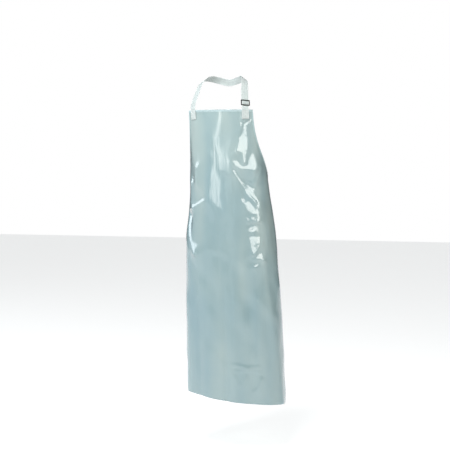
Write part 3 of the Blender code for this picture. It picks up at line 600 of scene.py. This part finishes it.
def blurred(field, softness):
    """A lattice field smoothed over about that many cells."""
    if softness == 0:
        return field
    half = math.ceil(softness * 3)
    kernel = np.exp(-0.5 * (np.arange(-half, half + 1) / softness) ** 2)
    kernel /= kernel.sum()
    for axis in (0, 1):
        field = np.apply_along_axis(
            lambda line: np.convolve(np.pad(line, half, mode="edge"), kernel, "valid"), axis, field)
    return field


def settle_facets():
    """Heights on a lattice whose slopes follow the facets as nearly as one sheet can."""
    s_axis = np.arange(LATTICE_S[0], LATTICE_S[1], LATTICE_STEP)
    z_axis = np.arange(LATTICE_Z[0], LATTICE_Z[1], LATTICE_STEP)
    s, z = np.meshgrid(s_axis, z_axis)
    bare = wrap(s, z)[0]
    facing = np.cross(np.gradient(bare, axis=1), np.gradient(bare, axis=0))
    turned = np.degrees(np.arctan2(facing[..., 0], -facing[..., 1]))
    raised = np.degrees(np.arcsin(facing[..., 2] / np.linalg.norm(facing, axis=-1)))
    stiff_s, stiff_z = np.full(s.shape, LOOSE), np.full(s.shape, LOOSE)
    lean_s, lean_z = np.zeros(s.shape), np.zeros(s.shape)
    for softness, table in ((PANEL_SOFTNESS, PANELS), (0.0, FACETS)):
        for azimuth, lift, weight, outline in table:
            share = blurred(inside(metres(outline), s, z).astype(float), softness)
            stiff_s += (weight - stiff_s) * share
            lean_s += (-np.tan(np.radians(azimuth - turned)) - lean_s) * share
            if lift is not None:
                stiff_z += (weight - stiff_z) * share
                lean_z += (-np.tan(np.radians(lift - raised)) - lean_z) * share
    pin = REST_PIN + SEWN_PIN * near_sewn_end(s, z, 0.018, 0.022) + SKIRT_PIN * (z < SKIRT_PIN_Z)
    hold_s, hold_z = (stiff_s[:, 1:] + stiff_s[:, :-1]) / 2, (stiff_z[1:] + stiff_z[:-1]) / 2
    want_s = LATTICE_STEP * (lean_s[:, 1:] + lean_s[:, :-1]) / 2
    want_z = LATTICE_STEP * (lean_z[1:] + lean_z[:-1]) / 2

    def pull(height_s, height_z):
        result = np.zeros(s.shape)
        result[:, 1:] += hold_s * height_s
        result[:, :-1] -= hold_s * height_s
        result[1:] += hold_z * height_z
        result[:-1] -= hold_z * height_z
        return result

    height = np.zeros(s.shape)
    residual = pull(want_s, want_z)
    direction = residual.copy()
    power = (residual ** 2).sum()
    for _ in range(SOLVER_STEPS):
        image = pull(np.diff(direction, axis=1), np.diff(direction, axis=0)) + pin * direction
        step = power / (direction * image).sum()
        height += step * direction
        residual -= step * image
        following = (residual ** 2).sum()
        direction = residual + direction * (following / power)
        power = following
    return s_axis, z_axis, blurred(height, 0.8)


LATTICE = settle_facets()


def cubic_weights(t):
    return (0.5 * (-t + 2 * t ** 2 - t ** 3), 0.5 * (2 - 5 * t ** 2 + 3 * t ** 3),
            0.5 * (t + 4 * t ** 2 - 3 * t ** 3), 0.5 * (t ** 3 - t ** 2))


def lattice_height(s, z):
    s_axis, z_axis, height = LATTICE
    across = np.clip((s - s_axis[0]) / LATTICE_STEP, 1.001, len(s_axis) - 3.001)
    up = np.clip((z - z_axis[0]) / LATTICE_STEP, 1.001, len(z_axis) - 3.001)
    column, row = across.astype(int), up.astype(int)
    result = np.zeros(s.shape)
    for i, a in enumerate(cubic_weights(up - row)):
        for j, b in enumerate(cubic_weights(across - column)):
            result += a * b * height[row + i - 1, column + j - 1]
    edge = smoothstep(s, LATTICE_S[0], LATTICE_S[0] + FADE_S)
    edge *= 1 - smoothstep(s, LATTICE_S[1] - FADE_S, LATTICE_S[1])
    return result * edge * smoothstep(z, LATTICE_Z[0], LATTICE_Z[0] + FADE_Z)


# Soft upright folds of the skirt, in millimetres: height, half-width, and s at the waist and at the hem.
SKIRT_FOLDS = metres((
    (5, 30, -190, -205), (-4, 24, -120, -128), (3, 34, -45, -50), (-2.8, 11, 0, 1), (3.4, 26, 36, 40),
    (-5, 34, 110, 118), (5.2, 26, 140, 255), (-0.8, 24, 250, 292), (1.6, 26, 345, 365),
    (-6, 26, -265, -285), (4.8, 24, -320, -345),
))
FOLD_SPREAD = 0.9  # the drop over which a fold goes from its upper s to its lower s
WAVE_COUNT, DRAW_COUNT = 14, 46


def relief(s, z):
    """Height of the sheet's folds above the bare wrap."""
    s, z = matched(s, z)
    height = lattice_height(s, z)
    for rise, width, line in RIDGES:
        distance, along = to_line(line, s, z)
        taper = smoothstep(along, 0.0, 0.12) * (1 - smoothstep(along, 0.85, 1.0))
        height += rise * taper * np.exp(-(distance / width) ** 2)
    down = smoothstep(-z, 0.55, 1.2)
    for rise, width, top, bottom in SKIRT_FOLDS:
        middle = top + (bottom - top) * (WAIST_Z - z) / FOLD_SPREAD
        height += rise * down * np.exp(-((s - middle) / width) ** 2)
    for rise, across, up, phase in WAVES:
        height += rise * np.sin(s * across + z * up + phase)
    for middle, level, width, reach, rise in DRAWS:
        height += rise * np.exp(-((s - middle) / width) ** 2 - ((z - level) / reach) ** 2)
    return height * (1 - near_sewn_end(s, z, 0.02, 0.024))


def make_draws():
    """Short upright drawn lines over the belly, where the coating is stretched."""
    rng = np.random.default_rng(5)
    draws = []
    for _ in range(DRAW_COUNT):
        draws.append((rng.uniform(-0.07, 0.07), rng.uniform(-0.56, -0.25), rng.uniform(0.0028, 0.0048),
                      rng.uniform(0.018, 0.05), rng.choice([-1, 1]) * rng.uniform(0.00016, 0.00036)))
    return draws


def make_waves():
    """Faint unevenness all over the sheet."""
    rng = np.random.default_rng(11)
    waves = []
    for _ in range(WAVE_COUNT):
        length = rng.uniform(0.05, 0.14)
        tilt = rng.normal(0, 0.6)
        waves.append((0.00012 * length / 0.05, 2 * math.pi / length * math.cos(tilt),
                      2 * math.pi / length * math.sin(tilt), rng.uniform(0, 2 * math.pi)))
    return waves


WAVES = make_waves()
DRAWS = make_draws()


def surface(s, z):
    """Points on the folded sheet's middle surface."""
    points, outward = wrap(s, z)
    return points + outward * relief(s, z)[..., None]


def lay(s, z, offset):
    """Points that far outside the folded sheet's middle surface."""
    s, z = matched(s, z)
    step = 0.0015
    across = surface(s + step, z) - surface(s - step, z)
    up = surface(s, z + step) - surface(s, z - step)
    return surface(s, z) + unit(np.cross(across, up)) * np.asarray(offset, float)[..., None]


# ---- meshes

def add_mesh(name, vertices, faces, materials, smooth=True, choice=None):
    mesh = bpy.data.meshes.new(name)
    vertices = np.asarray(vertices, float).reshape(-1, 3).tolist()
    mesh.from_pydata(vertices, [], [list(map(int, face)) for face in faces])
    mesh.validate()
    if smooth:
        mesh.shade_smooth()
    for material in materials:
        mesh.materials.append(material)
    if choice is not None:
        mesh.polygons.foreach_set("material_index", choice)
    mesh.update()
    return put(name, mesh)


def tube_faces(count, around, start=0):
    """Faces of a closed tube through rings of points, capped at both ends."""
    index = start + np.arange(count * around).reshape(count, around)
    turned = np.roll(index, -1, axis=1)
    quads = np.stack([index[:-1], turned[:-1], turned[1:], index[1:]], axis=-1).reshape(-1, 4)
    return quads.tolist() + [index[0, ::-1].tolist(), index[-1].tolist()]


def keep(item, body, slot, *nodes):
    """Hides the CAD nodes that a finished piece stands for, and gives it its body unless it is to be blended;
    its slot is not used.
    """
    if body is not None:
        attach(item, body)
    if nodes:
        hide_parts(*nodes)
    return item


ARMHOLE_STEPS = 126
SKIRT_STEPS = 128
DIP = 0.15  # how far the rows that end at the waist corners sag in the middle


def column_places():
    """Shares of the half-width, closer together in front."""
    inner = np.linspace(0.0, 0.48, 56)
    outer = 0.48 + 0.52 * np.linspace(0.0, 1.0, 35)[1:] ** 0.92
    half = np.concatenate([inner, outer])
    return np.concatenate([-half[:0:-1], half])


def make_sheet():
    u = column_places()
    v = np.linspace(0.0, 1.0, ARMHOLE_STEPS + 1)[:, None]
    width = BIB_HALF_WIDTH + REACH * (1 - np.cos(v * math.pi / 2))
    share = u ** 2
    drop = share * ARMHOLE_DROP * np.sin(v * math.pi / 2) + (1 - share) * (ARMHOLE_DROP + DIP) * v
    s_upper, z_upper = u * width, BIB_TOP_Z - drop
    w = np.linspace(0.0, 1.0, SKIRT_STEPS + 1)[1:, None] ** 1.25
    s_lower = np.broadcast_to(u * SHEET_HALF_WIDTH, (SKIRT_STEPS, len(u)))
    hem = HEM_Z + HEM_SLANT * wrap(s_lower[0], HEM_Z)[0][:, 0]
    z_lower = z_upper[-1] + (hem - z_upper[-1]) * w
    s, z = np.vstack([s_upper, s_lower]), np.vstack([z_upper, z_lower])
    middle = surface(s, z)
    across, down = np.gradient(middle, axis=1), np.gradient(middle, axis=0)
    lift = unit(-np.cross(across, down)) * SHEET_THICKNESS / 2
    rows, columns = s.shape
    index = np.arange(rows * columns).reshape(rows, columns)
    front = np.stack([index[:-1, :-1], index[1:, :-1], index[1:, 1:], index[:-1, 1:]], axis=-1).reshape(-1, 4)
    back = front[:, ::-1] + rows * columns
    loop = np.concatenate([index[:, 0], index[-1, 1:], index[-2::-1, -1], index[0, -2:0:-1]])
    following = np.roll(loop, -1)
    rim = np.stack([following, loop, loop + rows * columns, following + rows * columns], axis=1)
    faces = np.vstack([front, back, rim])
    choice = np.zeros(len(faces), np.int32)
    choice[len(front):len(front) + len(back)] = 1
    item = add_mesh("sheet", np.stack([middle + lift, middle - lift]), faces, [SHEET, LINING], choice=choice)
    return keep(item, "apron", "coated_sheet", "apron_panel")


def sweep(name, rings, material, slot, node):
    """A closed tube on the apron that stands for one CAD node."""
    rings = np.asarray(rings)
    item = add_mesh(name, rings, tube_faces(*rings.shape[:2]), [material])
    item.data.set_sharp_from_angle(angle=math.radians(50))
    return keep(item, "apron", slot, node)


HEM_DEPTH = 0.009
BINDING_DEPTH = 0.006
BINDING_START = 0.0105


def fold_profile(depth):
    """A band folded over an edge: distances in from the edge, and offsets, round its section."""
    return np.array((
        (depth, 0.0013), (depth * 0.5, 0.0015), (0.0, 0.00145), (-0.0009, 0.0009), (-0.0013, 0.0),
        (-0.0009, -0.0009), (0.0, -0.00145), (depth * 0.5, -0.0015), (depth, -0.0013),
        (depth, -0.0007), (0.0, -0.0007), (-0.0005, 0.0), (0.0, 0.0007), (depth, 0.0007))).T


def make_hem():
    s = np.linspace(-BIB_HALF_WIDTH, BIB_HALF_WIDTH, 150)[:, None]
    drops, offsets = fold_profile(HEM_DEPTH)
    rings = lay(s, BIB_TOP_Z - drops, offsets[None])
    return sweep("bib_hem", rings, BAND, "edge_band", "bib_top_hem")


def make_binding(side, word):
    depth, offsets = fold_profile(BINDING_DEPTH)
    first = math.asin(BINDING_START / ARMHOLE_DROP)
    angle = np.linspace(first, math.pi / 2, 190)[:, None]
    rim_s = SHEET_HALF_WIDTH - REACH * np.cos(angle)
    rim_z = BIB_TOP_Z - ARMHOLE_DROP * np.sin(angle)
    away_s, away_z = -np.cos(angle) / REACH, -np.sin(angle) / ARMHOLE_DROP
    length = np.hypot(away_s, away_z)
    s = rim_s + away_s / length * depth
    z = rim_z + away_z / length * depth
    rings = lay(side * s, z, offsets[None])
    return sweep(f"armhole_edge_{word}", rings, BINDING, "edge_band", f"armhole_binding_{word}")


# ---- webbing

RIBS, RIB_HEIGHT = 11, 0.00009
STATION_STEP, LEAST_STEP = 0.002, 0.0004


def web_section():
    """(across, lift) round a strip of webbing with lengthwise ribs and rounded selvedges."""
    across = np.linspace(-WEB_WIDTH / 2 + 0.0006, WEB_WIDTH / 2 - 0.0006, 4 * RIBS + 1)
    lift = WEB_THICKNESS / 2 - RIB_HEIGHT + RIB_HEIGHT * np.cos((across / WEB_WIDTH) * 2 * math.pi * RIBS)
    top = list(zip(across, lift))
    edge = WEB_WIDTH / 2
    side = [(edge - 0.0001, WEB_THICKNESS * 0.33), (edge, 0.0), (edge - 0.0001, -WEB_THICKNESS * 0.33)]
    bottom = [(a, -b) for a, b in reversed(top)]
    return np.array(top + side + bottom + [(-a, b) for a, b in reversed(side)])


def smooth_path(points, widths):
    """Cubic path through stations, at even steps."""
    points = np.array([tuple(p) for p in points])
    widths = np.array([tuple(Vector(w).normalized()) for w in widths])
    stretch = np.concatenate([[0.0], np.cumsum(np.linalg.norm(np.diff(points, axis=0), axis=1))])
    count = max(8, int(stretch[-1] / STATION_STEP))
    places = np.unique(np.concatenate([np.linspace(0, stretch[-1], count), stretch]))
    places = places[np.concatenate([[True], np.diff(places) > LEAST_STEP])]
    both = np.hstack([points, widths])
    slopes = np.gradient(both, stretch, axis=0)
    k = np.clip(np.searchsorted(stretch, places, side="right") - 1, 0, len(stretch) - 2)
    span = stretch[k + 1] - stretch[k]
    t = ((places - stretch[k]) / span)[:, None]
    h00, h10 = 2 * t ** 3 - 3 * t ** 2 + 1, t ** 3 - 2 * t ** 2 + t
    h01, h11 = -2 * t ** 3 + 3 * t ** 2, t ** 3 - t ** 2
    result = h00 * both[k] + h10 * span[:, None] * slopes[k]
    result += h01 * both[k + 1] + h11 * span[:, None] * slopes[k + 1]
    return result[:, :3], result[:, 3:], places


def make_webbing(name, stations, *nodes, body=None):
    """A strip of webbing through (point, width direction) stations, to be blended where it has no body."""
    points, widths, places = smooth_path([p for p, _ in stations], [w for _, w in stations])
    tangent = unit(np.gradient(points, places, axis=0))
    widths = unit(widths - tangent * (widths * tangent).sum(axis=1, keepdims=True))
    lifts = np.cross(tangent, widths)
    section = web_section()
    rings = points[:, None] + widths[:, None] * section[None, :, :1] + lifts[:, None] * section[None, :, 1:]
    count, around = rings.shape[:2]
    item = add_mesh(name, rings, tube_faces(count, around), [WEBBING])
    layer = item.data.uv_layers.new(name="weave")
    u = np.tile(section[:, 0], count)
    v = np.repeat(places, around)
    corners = np.empty(len(item.data.loops), np.int32)
    item.data.loops.foreach_get("vertex_index", corners)
    layer.data.foreach_set("uv", np.stack([u[corners], v[corners]], axis=1).ravel())
    return keep(item, body, "webbing", *nodes)


def catmull(stations, pieces):
    """Catmull-Rom curve through (point, width direction) stations, as the CAD lays it."""
    ends = [stations[0]] + list(stations) + [stations[-1]]
    result = []
    for k in range(1, len(ends) - 2):
        for step in range(pieces):
            point, width = Vector(), Vector()
            for weight, (p, w) in zip(cubic_weights(step / pieces), ends[k - 1:k + 3]):
                point += Vector(p) * weight
                width += Vector(w) * weight
            result.append((point, width))
    return result + [(Vector(stations[-1][0]), Vector(stations[-1][1]))]


def arc(radius, first, last, pieces):
    angles = [math.radians(first + (last - first) * k / pieces) for k in range(pieces + 1)]
    return [(radius * math.cos(a), radius * math.sin(a)) for a in angles]


def tangent_angle(radius, t, n, front):
    turn = math.degrees(math.acos(radius / math.hypot(t, n)))
    return math.degrees(math.atan2(n, t)) + (turn if front else -turn)


def at_slider(t, n):
    return SLIDER_CENTRE + SLIDER_UP * t + SLIDER_OUT * n


def slider_stations(places):
    return [(at_slider(t, n), SLIDER_ACROSS) for t, n in places]


def sewn_neck_end(side):
    """Stations of a neck strap's end, up the folded sheet's corner to just above its top edge."""
    drops = np.array([SEWN_LENGTH, SEWN_LENGTH * 0.66, SEWN_LENGTH * 0.33, 0.004, -0.004])
    points = lay(side * STRAP_S, BIB_TOP_Z - drops, SEWN_OFFSET)
    ends = lay(side * STRAP_S + np.array([-0.01, 0.01]), BIB_TOP_Z, 0)
    width = Vector(ends[1] - ends[0]) * side
    return [(Vector(p), width) for p in points]


def make_neck_straps():
    """The long strap round the neck, and the short one with its free tail."""
    radius = CENTRE_BAR_RADIUS + GAP + 0.5 * WEB_THICKNESS
    back = tangent_angle(radius, SLOT_EXIT, -RETURN_EXIT_DEPTH, False) % 360
    front = tangent_angle(radius, SLOT_EXIT, -LAP_EXIT_DEPTH, True)
    route = [(t, -RETURN_DEPTH) for t in (LOOP_RETURN, LOOP_MIDDLE, LOOP_LOW)]
    route += [(SLOT_EXIT, -RETURN_EXIT_DEPTH)] + arc(radius, back, front, 12) + [(SLOT_EXIT, -LAP_EXIT_DEPTH)]
    route += [(t, -LAP_DEPTH) for t in (LOOP_LOW, LOOP_MIDDLE, LOOP_HIGH)]
    stations = slider_stations(route)
    right = [(STRAP_TOP_STRAIGHT, SLIDER_ACROSS)] + list(NECK_ROUTE)
    nape = [((0.0, WEB_THICKNESS / 2, 0.0), (0.0, -0.08, -1.0))]
    left = [((-p[0], p[1], p[2]), (-w[0], w[1], w[2])) for p, w in reversed(right)]
    stations += catmull(right + nape + left, 4)
    stations += list(reversed(sewn_neck_end(-1)))
    neck = make_webbing("neck_webbing", stations, "neck_strap")
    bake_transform(neck)

    radius = CENTRE_BAR_RADIUS + 2 * GAP + 1.5 * WEB_THICKNESS
    first = tangent_angle(radius, SLOT_EXIT, -THREAD_DEPTH, True)
    over = arc(radius, 180 - first, first, 8)
    lower = [(-THREAD_CLEAR, -THREAD_DEPTH), (-SLOT_EXIT, -THREAD_DEPTH)] + over[:5]
    upper = over[4:] + [(t, -THREAD_DEPTH) for t in (SLOT_EXIT, THREAD_CLEAR, LOOP_HIGH, SLIDER_TAIL)]
    run = sewn_neck_end(1)
    low = make_webbing("slider_webbing", run + slider_stations(lower), "slider_strap")
    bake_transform(low)
    make_webbing("slider_webbing_tail", slider_stations(upper), body="slider")
    return neck, low


def belt_point(u, n):
    return Vector((BUCKLE_MOUTH_X + u, BUCKLE_Y + n, BELT_Z))


def belt_stations(places):
    return [(belt_point(u, n), UP) for u, n in places]


def sewn_belt_end(side):
    """Stations along the belt's sewn end and just past the sheet's edge."""
    s = side * np.array([BELT_S - BELT_SEWN_LENGTH / 2, BELT_S - 0.006, BELT_S + 0.006,
                         SHEET_HALF_WIDTH + 0.003])
    return [(Vector(p), UP) for p in lay(s, BELT_Z, BELT_OFFSET)]


def make_belts():
    """The belt's halves, each turned back in the buckle."""
    radius = SOCKET_BAR_HALF + GAP + WEB_THICKNESS / 2
    sewn = sewn_belt_end(-1)
    reach = belt_stations((*BELT_LEFT_REACH, (SOCKET_BAR_U - 0.002, radius)))
    run = sewn[:-1] + catmull([sewn[-1]] + reach, 3)
    turn = belt_stations((SOCKET_BAR_U + r, n) for r, n in arc(radius, 90, -90, 8))
    back = belt_stations([(SOCKET_BAR_U - 0.005, -radius)] + [(u, -BELT_LAP_DEPTH) for u in BELT_LAP])
    make_webbing("belt_webbing_left", run + turn + back, "waist_strap_left", body="apron")

    sewn = sewn_belt_end(1)
    run = catmull([sewn[-1]] + belt_stations(BELT_RIGHT_REACH), 3)
    tail = []
    for k in range(len(run) - 1, len(run) - 8, -1):
        along = (run[k][0] - run[k - 1][0]).normalized()
        tail.append((run[k][0] + UP.cross(along) * TAIL_DEPTH, UP))
    stations = sewn[:-1] + run + belt_stations(PLUG_TURN) + tail
    right = make_webbing("belt_webbing_right", stations, "waist_strap_right")
    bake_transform(right)


# ---- backing patches and stitching

PATCH_CORNER = 0.004
# Rings of a patch, outside to inside: share of its size, and lift.
PATCH_RINGS = ((0.02, 0), (0.5, 0), (0.93, 0), (1, 0.00028), (1, 0.0006), (0.5, 0.0006), (0.02, 0.0006))


def make_patch(name, s_middle, z_middle, size, offset, node):
    """Rounded square of sheet behind a sewn strap end."""
    inner_s, inner_z = size[0] / 2 - PATCH_CORNER, size[1] / 2 - PATCH_CORNER
    outline = []
    for quarter, (sx, sz) in enumerate(((1, 1), (-1, 1), (-1, -1), (1, -1))):
        for k in range(6):
            angle = math.radians(90 * (quarter + k / 5))
            outline.append((sx * inner_s + PATCH_CORNER * math.cos(angle),
                            sz * inner_z + PATCH_CORNER * math.sin(angle)))
    outline = np.array(outline)
    rings = []
    for share, lift in PATCH_RINGS:
        flat = outline * share
        rings.append(lay(s_middle + flat[:, 0], z_middle + flat[:, 1], offset + lift))
    return sweep(name, rings, LINING_PATCH, "coated_sheet", node)


STITCH_LENGTH, STITCH_GAP, STITCH_RADIUS = 0.003, 0.0008, 0.00028


def stitches(paths):
    """Short round-ended stitches along flat paths: vertices in (s, z, lift) and faces."""
    shape = ((0.0, 0.35), (0.12, 0.85), (0.3, 1.0), (0.7, 1.0), (0.88, 0.85), (1.0, 0.35))
    around = 8
    vertices, faces = [], []
    for a, b in paths:
        a, b = np.array(a, float), np.array(b, float)
        total = np.linalg.norm(b - a)
        count = max(1, round(total / (STITCH_LENGTH + STITCH_GAP)))
        along = (b - a) / total
        beside = np.array([-along[1], along[0]])
        pitch = total / count
        for k in range(count):
            first = len(vertices)
            for place, girth in shape:
                centre = a + along * (k * pitch + STITCH_GAP / 2 + place * (pitch - STITCH_GAP))
                sink = 0.6 * (2 * abs(place - 0.5)) ** 3
                for j in range(around):
                    angle = 2 * math.pi * j / around
                    side = STITCH_RADIUS * girth * math.cos(angle)
                    lift = STITCH_RADIUS * (girth * math.sin(angle) - sink)
                    vertices.append((*(centre + beside * side), lift))
            faces += tube_faces(len(shape), around, first)
    return np.array(vertices), faces


def crossed_box(width, height):
    w, h = width / 2, height / 2
    corners = [(-w, -h), (w, -h), (w, h), (-w, h)]
    edges = list(zip(corners, corners[1:] + corners[:1]))
    return edges + [(corners[0], corners[2]), (corners[1], corners[3])]


def make_seam(name, paths, s_middle, z_middle, offset, node):
    flat, faces = stitches(paths)
    points = lay(s_middle + flat[:, 0], z_middle + flat[:, 1], offset + flat[:, 2])
    return keep(add_mesh(name, points, faces, [THREAD]), "apron", "thread", node)


THREAD_LIFT = 0.0001
# Sewn ends: name, s and z of the middle, the webbing's offset, the seam's box, the patch's size and offset.
SEWN_ENDS = (
    ("corner", STRAP_S, SEWN_Z, SEWN_OFFSET, (0.024, 0.026), (0.033, 0.036), -0.0026),
    ("waist", BELT_S, BELT_Z, BELT_OFFSET, (0.024, 0.022), (0.034, 0.036), -0.0016),
)
LOOP_BOX = (0.024, 0.012)


def make_seams():
    """The seam and the backing patch at each sewn end, and the seam of the slider's loop."""
    pieces = []
    web_top = WEB_THICKNESS / 2 + THREAD_LIFT
    for side, word in SIDES:
        pieces += [make_seam(f"{end}_thread_{word}", crossed_box(*box), side * s, z, offset + web_top,
                             f"{end}_stitch_{word}") for end, s, z, offset, box, _, _ in SEWN_ENDS]
        pieces += [make_patch(f"{end}_backing_{word}", side * s, z, size, behind, f"{end}_patch_{word}")
                   for end, s, z, _, _, size, behind in SEWN_ENDS]
    flat, faces = stitches(crossed_box(*LOOP_BOX))
    middle = (LOOP_RETURN + LOOP_LOW) / 2
    depth = RETURN_DEPTH + web_top
    points = [at_slider(middle + y, -depth - lift) + SLIDER_ACROSS * x for x, y, lift in flat.tolist()]
    keep(add_mesh("slider_loop_thread", points, faces, [THREAD]), "slider", "thread", "slider_loop_stitch")
    return pieces


EDGE_ROUNDING = 0.0004


def dress_plastic():
    """Soft moulded edges and a material on the CAD's plastic pieces."""
    for name in ("neck_slider", "buckle_socket", "buckle_plug", "buckle_prong_upper", "buckle_prong_lower"):
        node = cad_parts[name]
        for slot in node.material_slots:
            slot.link = "OBJECT"
            slot.material = PLASTIC
        bevel = node.modifiers.new("edges", "BEVEL")
        bevel.width = EDGE_ROUNDING
        bevel.segments = 3
        bevel.limit_method = "ANGLE"
        bevel.angle_limit = math.radians(35)


SHEET = sheet_material()
LINING = lining_material()
LINING_PATCH = lining_material()
BAND = band_material("edge_band", (0.36, 0.46, 0.47))
BINDING = band_material("binding", (0.36, 0.48, 0.49))
WEBBING = webbing_material()
THREAD = thread_material()
PLASTIC = plastic_material()

bpy.context.scene.view_settings.view_transform = "Standard"
make_camera()
make_studio()
sheet = make_sheet()
hem = make_hem()
bindings = [make_binding(side, word) for side, word in SIDES]
neck, slider_low = make_neck_straps()
make_belts()
seams = make_seams()
dress_plastic()
